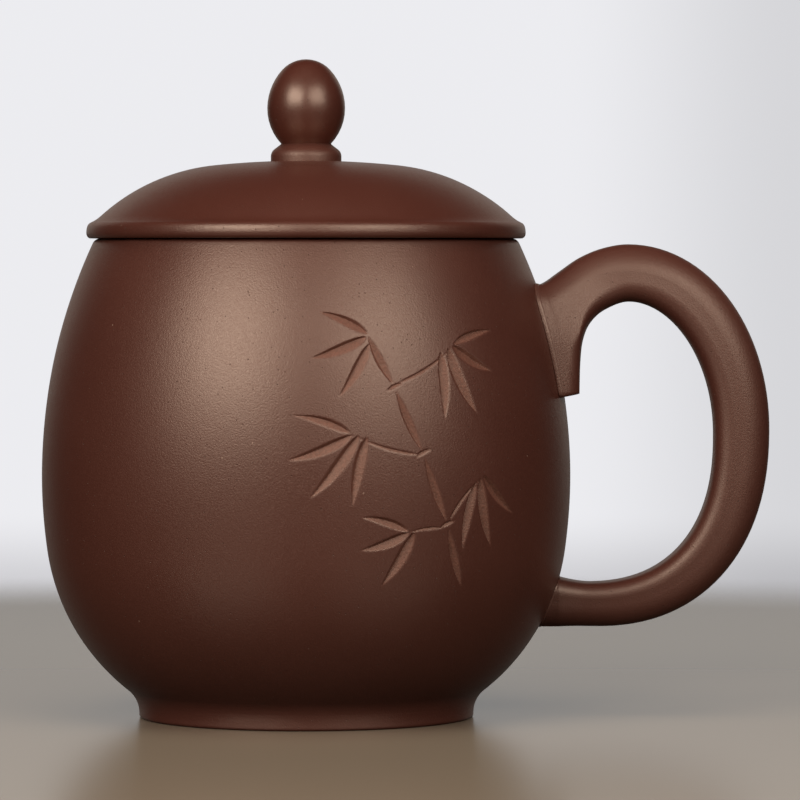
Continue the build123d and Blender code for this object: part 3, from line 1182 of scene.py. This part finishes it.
    def facing(self, ring: list[BMEdge]) -> dict[BMVert, Vector]:
        """Directions along the wall in which a root's ring faces.

        Args:
            ring: The ring's edges.

        Returns:
            For each vertex of the ring, the unit direction away from the root.
        """
        sides: dict[BMVert, list[Vector]] = {}
        for edge in ring:
            for vert in edge.verts:
                sides.setdefault(vert, []).append(edge.other_vert(vert).co)
        middle = sum((vert.co for vert in sides), Vector()) / len(sides)
        found = {}
        for vert, (one, other) in sides.items():
            out = (one - other).cross(Vector((*vert.co.xy, 0.0))).normalized()
            found[vert] = out if out.dot(vert.co - middle) > 0 else -out
        return found

    def set_down(
        self, ring: list[BMEdge], tongue: bool, height: float, spread: float = 0.0, share: float = 1.0
    ) -> None:
        """Move a root's ring towards a height above the wall, spread out along the wall.

        Args:
            ring: The ring's edges.
            tongue: Whether it is the upper root's, with its flat cut end below.
            height: The height above the wall.
            spread: How far the ring is spread.
            share: How much of the way the ring goes.
        """
        for vert, outward in self.facing(ring).items():
            before = vert.co.copy()
            flat_end = tongue and outward.z < self.flat_end_facing
            vert.co += outward * spread * (self.flat_end_bulge_share if flat_end else 1.0)
            step = (self.cup.wall_x(vert.co.y, vert.co.z) + height - vert.co.x) * share
            vert.co.x += step
            if tongue and outward.z < 0:
                vert.co.z -= outward.z * self.tongue_fall * step
            if not spread:
                self.widen(vert, before)

    def root(self, bm: BMesh, ring: list[BMEdge], section: Section, drawn: bool) -> list[BMEdge]:
        """Bring a root's last free ring down to the top of its bead of slip, step by step.

        Args:
            bm: The mesh.
            ring: The last free ring's edges.
            section: The root's section.
            drawn: Whether each step draws out a new ring, or moves the ring itself.

        Returns:
            The edges of the ring on the bead.
        """
        height = self.slip_height(section)
        for step in range(self.root_steps):
            if drawn:
                ring = self.extruded(bm, ring)
            self.set_down(ring, section.in_upper_half(), height, share=1 / (self.root_steps - step))
        return ring

    def slip_height(self, section: Section) -> float:
        """How high the bead of slip stands under a root with this section."""
        return self.bead_height if section.in_upper_half() else self.lower_bead_height

    def extruded(self, bm: BMesh, ring: list[BMEdge]) -> list[BMEdge]:
        """Extrude a ring, and give the new ring's edges without the ones that lead to it.

        Args:
            bm: The mesh.
            ring: The edges of the ring before.

        Returns:
            The new ring's edges.
        """
        old = {vert for edge in ring for vert in edge.verts}
        made = bmesh.ops.extrude_edge_only(bm, edges=ring)["geom"]
        return [part for part in made if isinstance(part, BMEdge) and not old.intersection(part.verts)]

    def laid_ring(self, bm: BMesh, section: Section) -> list[BMEdge]:
        """Lay a section out, with the upper root's own width at each of its points.

        Args:
            bm: The mesh.
            section: The section.

        Returns:
            The ring's edges.
        """
        ring = section.ring(bm)
        if section.in_upper_half() and section.centre.x < self.arch_reach:
            for vert in {vert for edge in ring for vert in edge.verts}:
                self.widen(vert, section.centre)
        return ring

    def loop(self, sections: list[Section]) -> BMesh:
        """Join the sections into the handle, with both its ends closed.

        Args:
            sections: All the handle's sections.

        Returns:
            The handle's mesh.
        """
        bm = bmesh.new()
        rings = [self.laid_ring(bm, section) for section in sections]
        for ring, after in zip(rings, rings[1:]):
            bmesh.ops.bridge_loops(bm, edges=ring + after)
        for ring, section in ((rings[0], sections[0]), (rings[-1], sections[-1])):
            bmesh.ops.contextual_create(bm, geom=self.root(bm, ring, section, drawn=True))
        bmesh.ops.recalc_face_normals(bm, faces=bm.faces)
        return bm

    def bead(self, section: Section) -> BMesh:
        """Press the slip out from under a root into a round bead on the wall.

        Args:
            section: The root's section.

        Returns:
            The bead's mesh.
        """
        bm = bmesh.new()
        ring = self.root(bm, self.laid_ring(bm, section), section, drawn=False)
        bmesh.ops.contextual_create(bm, geom=ring)
        top = self.slip_height(section)
        for (_, before), (height, bulge) in zip(self.BEAD_SHARES, self.BEAD_SHARES[1:]):
            ring = self.extruded(bm, ring)
            spread = self.bead_bulge * top / self.bead_height * (bulge - before)
            self.set_down(ring, section.in_upper_half(), top * height, spread)
        bmesh.ops.contextual_create(bm, geom=ring)
        bmesh.ops.recalc_face_normals(bm, faces=bm.faces)
        return bm

    def build(self, clay: ClayFinish, slip: ClayFinish) -> None:
        """Build the handle and the slip that holds it.

        Args:
            clay: The handle's finish.
            slip: The slip's finish.
        """
        sections = self.sections()
        material = slip.material()
        as_piece(self.loop(sections), "handle", Body.CUP, clay.material())
        as_piece(self.bead(sections[0]), "upper_luting_slip", Body.CUP, material)
        as_piece(self.bead(sections[-1]), "lower_luting_slip", Body.CUP, material)


@dataclass
class Lid:
    """The loose lid: seat plate, dome, flange, collar and knob."""

    # The seat plate's edge from below: shares of the plate's thickness and of the edge's bulge
    EDGE_SHARES: ClassVar[list[tuple[float, float]]] = [
        (0.00, 0.42),
        (0.06, 0.70),
        (0.14, 0.88),
        (0.24, 0.97),
        (0.33, 1.00),
        (0.44, 0.985),
        (0.55, 0.95),
        (0.66, 0.89),
        (0.76, 0.79),
        (0.85, 0.64),
        (0.92, 0.45),
        (1.00, 0.00),
    ]

    edge_bulge: float = 1.07 * MM
    plate_bore: float = 31.0 * MM
    flange_wall: float = 2.6 * MM
    flange_rounding: float = 0.6 * MM
    dome_rise: float = 11.6 * MM
    dome_thickness: float = 3.0 * MM
    dome_foot_width: float = 5.25 * MM
    crown_radius: float = 170.0 * MM
    crown_reach: float = 17.4 * MM
    brim_cove_radius: float = 6.8 * MM
    brim_slope: float = math.radians(26)
    collar_shoulder_radius: float = 1.8 * MM
    collar_side: float = 0.90 * MM
    collar_edge_rounding: float = 0.25 * MM
    collar_edge_drop: float = 1.15 * MM
    neck_reach: float = 4.7 * MM
    knob_belly_rise: float = 6.8 * MM
    knob_crown_rise: float = 9.2 * MM
    knob_cap_share: float = 0.84
    swell: float = 0.05 * MM
    swell_spread: float = 9 * MM

    def __post_init__(self) -> None:
        """Take the heights and reaches that the frame gives."""
        low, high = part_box("lid_seat_plate")
        self.plate_low, self.plate_top, self.plate_reach = low.z, high.z, high.x
        self.dome_reach = self.plate_reach - self.edge_bulge
        self.flange_low, self.flange_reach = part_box("lid_flange")[0].z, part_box("lid_flange")[1].x
        low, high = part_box("knob_collar")
        self.collar_low, self.collar_top, self.collar_reach = low.z, high.z, high.x
        self.knob_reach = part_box("knob")[1].x

    def build(self, clay: ClayFinish, burnished: ClayFinish, plain: ClayFinish) -> None:
        """Build the lid's pieces.

        Args:
            clay: The lid's finish.
            burnished: The knob's finish.
            plain: The collar's finish.
        """
        material = clay.material()
        own = {"knob": burnished.material(), "knob_collar": plain.material()}
        made = {
            "lid_seat_plate": self.seat_plate(),
            "lid_dome": self.dome(),
            "lid_flange": self.flange(),
            "knob_collar": self.collar(),
            "knob": self.knob(),
        }
        for node, bm in made.items():
            waver(bm, self.swell, self.swell_spread)
            as_piece(bm, node, Body.LID, own.get(node, material))

    def seat_plate(self) -> BMesh:
        """Turn the seat plate, whose round edge is the band under the dome.

        Returns:
            The plate's mesh.
        """
        corner = Vector((self.dome_reach, self.plate_low))
        thickness = self.plate_top - self.plate_low
        edge = [corner + Vector((self.edge_bulge * out, thickness * up)) for up, out in self.EDGE_SHARES]
        bore = corners((self.plate_bore, self.plate_top), (self.plate_bore, self.plate_low))
        return turned([*edge, *bore])

    def dome(self) -> BMesh:
        """Turn the hollow dome: crown, shoulder and a cove down to the plate.

        Returns:
            The dome's mesh.
        """
        crown_centre = Vector((0, self.plate_top + self.dome_rise - self.crown_radius))
        crown_normal = Vector((self.crown_reach, math.sqrt(self.crown_radius**2 - self.crown_reach**2)))
        crown_end = crown_centre + crown_normal
        crown_normal.normalize()
        lean = Vector((math.sin(self.brim_slope), math.cos(self.brim_slope)))
        cove_centre = Vector((self.dome_reach, self.plate_top)) + lean * self.brim_cove_radius
        radius = joining_radius(crown_end, crown_normal, cove_centre, self.brim_cove_radius)
        centre = crown_end - crown_normal * radius
        brim = centre.lerp(cove_centre, radius / (radius + self.brim_cove_radius)).y
        outer = arc(crown_centre, self.crown_radius, self.collar_low, crown_end.y)
        outer += arc(centre, radius, crown_end.y, brim)
        outer += arc(cove_centre, self.brim_cove_radius, brim, self.plate_top, Side.HOLLOW)
        inner_end = crown_end - crown_normal * self.dome_thickness
        foot = Vector((self.dome_reach - self.dome_foot_width, self.plate_top))
        inner_radius = joining_radius(inner_end, crown_normal, foot, 0)
        inner_centre = inner_end - crown_normal * inner_radius
        inner_crown_radius = self.crown_radius - self.dome_thickness
        inner = arc(inner_centre, inner_radius, foot.y, inner_end.y)
        inner += arc(crown_centre, inner_crown_radius, inner_end.y, crown_centre.y + inner_crown_radius)
        inner[-1].x = 0.0
        return turned([Vector((0, self.collar_low)), *outer, *inner], closed=False)

    def flange(self) -> BMesh:
        """Turn the flange that drops into the mouth.

        Returns:
            The flange's mesh.
        """
        inside, outside = self.flange_reach - self.flange_wall, self.flange_reach
        low, high = self.flange_low, self.plate_low
        bm = turned(corners((inside, low), (outside, low), (outside, high), (inside, high)))
        round_rim(bm, inside, low, self.flange_rounding)
        round_rim(bm, outside, low, self.flange_rounding)
        return bm

    def collar(self) -> BMesh:
        """Turn the knob's collar: a round side and a sloping shoulder up to the neck.

        Returns:
            The collar's mesh.
        """
        reach, radius = self.collar_reach, self.collar_shoulder_radius
        centre = Vector((reach - radius, self.collar_low + self.collar_side))
        side = arc(centre, radius, centre.y, self.collar_top - self.collar_edge_drop)
        under = corners((0, self.collar_low), (reach, self.collar_low))
        above = corners((self.neck_reach, self.collar_top), (0, self.collar_top))
        bm = turned([*under, *side, *above], closed=False)
        round_rim(bm, side[-1].x, side[-1].y, self.collar_edge_rounding)
        return bm

    def knob(self) -> BMesh:
        """Turn the egg-shaped knob from three arcs.

        Returns:
            The knob's mesh.
        """
        reach, waist = self.knob_reach, self.collar_top + self.knob_belly_rise
        lean = reach - self.neck_reach
        lower_radius = (self.knob_belly_rise**2 + lean**2) / (2 * lean)
        cap_radius = reach * self.knob_cap_share
        cap_rise = self.knob_crown_rise - cap_radius
        upper_radius = (reach**2 + cap_rise**2 - cap_radius**2) / (2 * (reach - cap_radius))
        cap_centre = Vector((0, waist + cap_rise))
        upper_centre = Vector((reach - upper_radius, waist))
        cap_edge = (cap_centre + (cap_centre - upper_centre).normalized() * cap_radius).y
        outline = arc(Vector((reach - lower_radius, waist)), lower_radius, self.collar_top, waist)
        outline += arc(upper_centre, upper_radius, waist, cap_edge)
        outline += arc(cap_centre, cap_radius, cap_edge, cap_centre.y + cap_radius)
        outline[-1].x = 0.0
        return turned([Vector((0, self.collar_top)), *outline], closed=False)


@dataclass(frozen=True)
class Softbox:
    """A soft lamp that faces the cup."""

    name: str
    power: float
    azimuth: float = 0.0
    elevation: float = math.radians(27)
    distance: float = 0.80
    width: float = 0.60
    height: float = 0.40
    colour: Colour = (1.0, 0.97, 0.93)
    in_gloss: bool = True

    def build(self, target: Vector) -> None:
        """Hang the lamp round a point.

        Args:
            target: The point that it faces. Azimuth is counted from the camera's side, towards the handle.
        """
        lamp = bpy.data.lights.new(self.name, "AREA")
        lamp.shape = "RECTANGLE"
        lamp.size, lamp.size_y = self.width, self.height
        lamp.energy, lamp.color = self.power, self.colour
        holder = bpy.data.objects.new(self.name, lamp)
        flat = math.cos(self.elevation)
        across, back = math.sin(self.azimuth) * flat, -math.cos(self.azimuth) * flat
        away = Vector((across, back, math.sin(self.elevation)))
        holder.location = target + away * self.distance
        holder.rotation_euler = (-away).to_track_quat("-Z", "Y").to_euler()
        holder.visible_glossy = self.in_gloss
        bpy.context.scene.collection.objects.link(holder)


@dataclass
class Studio:
    """Pale floor and backdrop, three soft lamps and the camera.

    The world's spans are along the axes of a unit direction, from where a change starts to where it ends.
    """

    camera_distance: float = 0.95
    camera_height: float = 0.087
    aim: Vector = field(default_factory=lambda: Vector((0.01775, 0.0, 0.0600)))
    lens: float = 225.7
    sensor: float = 36.0
    floor_size: float = 6.0
    floor_cells: int = 8
    floor_colour: Colour = (0.325, 0.248, 0.172)
    floor_bounce: Colour = (0.05, 0.036, 0.026)
    floor_roughness: float = 0.24
    floor_near: float = 0.30
    floor_far: float = 0.43
    # The backdrop that the camera sees has painted shade: darker towards the horizon and dimmed at the sides
    horizon_shade_colour: Colour = (0.60, 0.595, 0.62)
    backdrop_colour: Colour = (0.84, 0.84, 0.87)
    backdrop_rise: Span = (-0.068, -0.050)
    backdrop_side_shade: float = 0.20
    backdrop_side_shade_span: Span = (0.03, 0.08)
    ambient: Colour = (0.012, 0.012, 0.012)
    glow: Colour = (0.57, 0.535, 0.48)
    glow_tilt: float = 0.5
    glow_span: Span = (0.80, 0.99)
    glow_top: Span = (0.62, 0.32)
    low_glow_gain: float = 1.7
    low_glow_span: Span = (0.0, 0.25)
    table_glow: Colour = (0.48, 0.49, 0.50)
    table_glow_span: Span = (0.955, 0.99)
    softboxes: tuple[Softbox, ...] = (
        Softbox("left_softbox", power=3.8, azimuth=math.radians(-34)),
        Softbox("right_softbox", power=2.6, azimuth=math.radians(35)),
        Softbox("top_softbox", power=2.4, elevation=math.radians(74), height=0.60, in_gloss=False),
    )

    def build(self) -> None:
        """Set up the whole studio."""
        bpy.context.scene.view_settings.view_transform = "Standard"
        self.floor()
        self.world()
        for softbox in self.softboxes:
            softbox.build(Vector((0.0, 0.0, self.aim.z)))
        self.camera()

    def camera(self) -> None:
        """Place the camera at the photograph's height and distance."""
        lens = bpy.data.cameras.new("camera")
        lens.lens, lens.sensor_width = self.lens, self.sensor
        holder = bpy.data.objects.new("camera", lens)
        holder.location = (self.aim.x, -self.camera_distance, self.camera_height)
        holder.rotation_euler = (self.aim - holder.location).to_track_quat("-Z", "Y").to_euler()
        bpy.context.scene.collection.objects.link(holder)
        bpy.context.scene.camera = holder

    def floor(self) -> None:
        """Lay the floor, which clears with distance so that the camera sees the backdrop through it."""
        bm = bmesh.new()
        cells = self.floor_cells
        bmesh.ops.create_grid(bm, x_segments=cells, y_segments=cells, size=self.floor_size)
        mesh = bpy.data.meshes.new("floor")
        bm.to_mesh(mesh)
        bm.free()
        floor = bpy.data.objects.new("floor", mesh)
        shade = Shade("floor")
        away = shade.add("ShaderNodeVectorMath", operation="LENGTH")
        shade.feed(away.inputs[0], shade.place)
        fade = shade.span(away.outputs["Value"], self.floor_near, self.floor_far)
        seen = shade.seen()
        colour = shade.tint(seen, self.floor_bounce, self.floor_colour)
        shade.feed(shade.shader.inputs["Base Color"], colour)
        shade.shader.inputs["Roughness"].default_value = self.floor_roughness
        clear = shade.add("ShaderNodeBsdfTransparent")
        mix = shade.add("ShaderNodeMixShader")
        shade.feed(mix.inputs[0], shade.sum("MULTIPLY", fade, seen))
        shade.feed(mix.inputs[1], shade.shader.outputs["BSDF"])
        shade.feed(mix.inputs[2], clear.outputs["BSDF"])
        shade.feed(shade.tree.nodes["Material Output"].inputs["Surface"], mix.outputs["Shader"])
        mesh.materials.append(shade.material)
        bpy.context.scene.collection.objects.link(floor)

    def world(self) -> None:
        """Light the room dimly, with a soft glow behind the cup and a pale backdrop, with painted shade, for
        the camera.
        """
        world = bpy.data.worlds.new("room")
        world.use_nodes = True
        bpy.context.scene.world = world
        room = NodeTree(world.node_tree)
        way = room.add("ShaderNodeSeparateXYZ")
        room.feed(way.inputs["Vector"], room.add("ShaderNodeTexCoord").outputs["Generated"])
        x, y, z = way.outputs
        behind = room.span(room.sum("MULTIPLY_ADD", z, self.glow_tilt, y), *self.glow_span)
        below_top = room.span(z, *self.glow_top)
        raised = room.span(z, *self.low_glow_span)
        rise = room.sum("MULTIPLY_ADD", raised, 1 - self.low_glow_gain, self.low_glow_gain)
        weight = room.sum("MULTIPLY", room.sum("MULTIPLY", behind, below_top), rise)
        lit = room.tint(weight, self.ambient, self.glow)
        lit = room.tint(room.span(y, *self.table_glow_span), lit, self.table_glow)
        # Painted shade on the backdrop: darker towards the table's edge, then dimmed towards black at the
        # sides
        paling = room.span(z, *self.backdrop_rise)
        backdrop = room.tint(paling, self.horizon_shade_colour, self.backdrop_colour)
        side_shade = room.sum("MULTIPLY", room.span(x, *self.backdrop_side_shade_span), self.backdrop_side_shade)
        backdrop = room.tint(side_shade, backdrop, BLACK)
        colour = room.tint(room.seen(), lit, backdrop)
        room.feed(world.node_tree.nodes["Background"].inputs["Color"], colour)


def main() -> None:
    """Build the cup, its handle and its lid, and the studio around them."""
    logging.basicConfig(level=logging.INFO, format="%(message)s")
    cup = Cup()
    cup.build(RED_CLAY, CARVED_CLAY)
    Handle(cup).build(HANDLE_CLAY, CLAY_SLIP)
    Lid().build(LID_CLAY, KNOB_CLAY, COLLAR_CLAY)
    Studio().build()


if __name__ == "__main__":
    main()
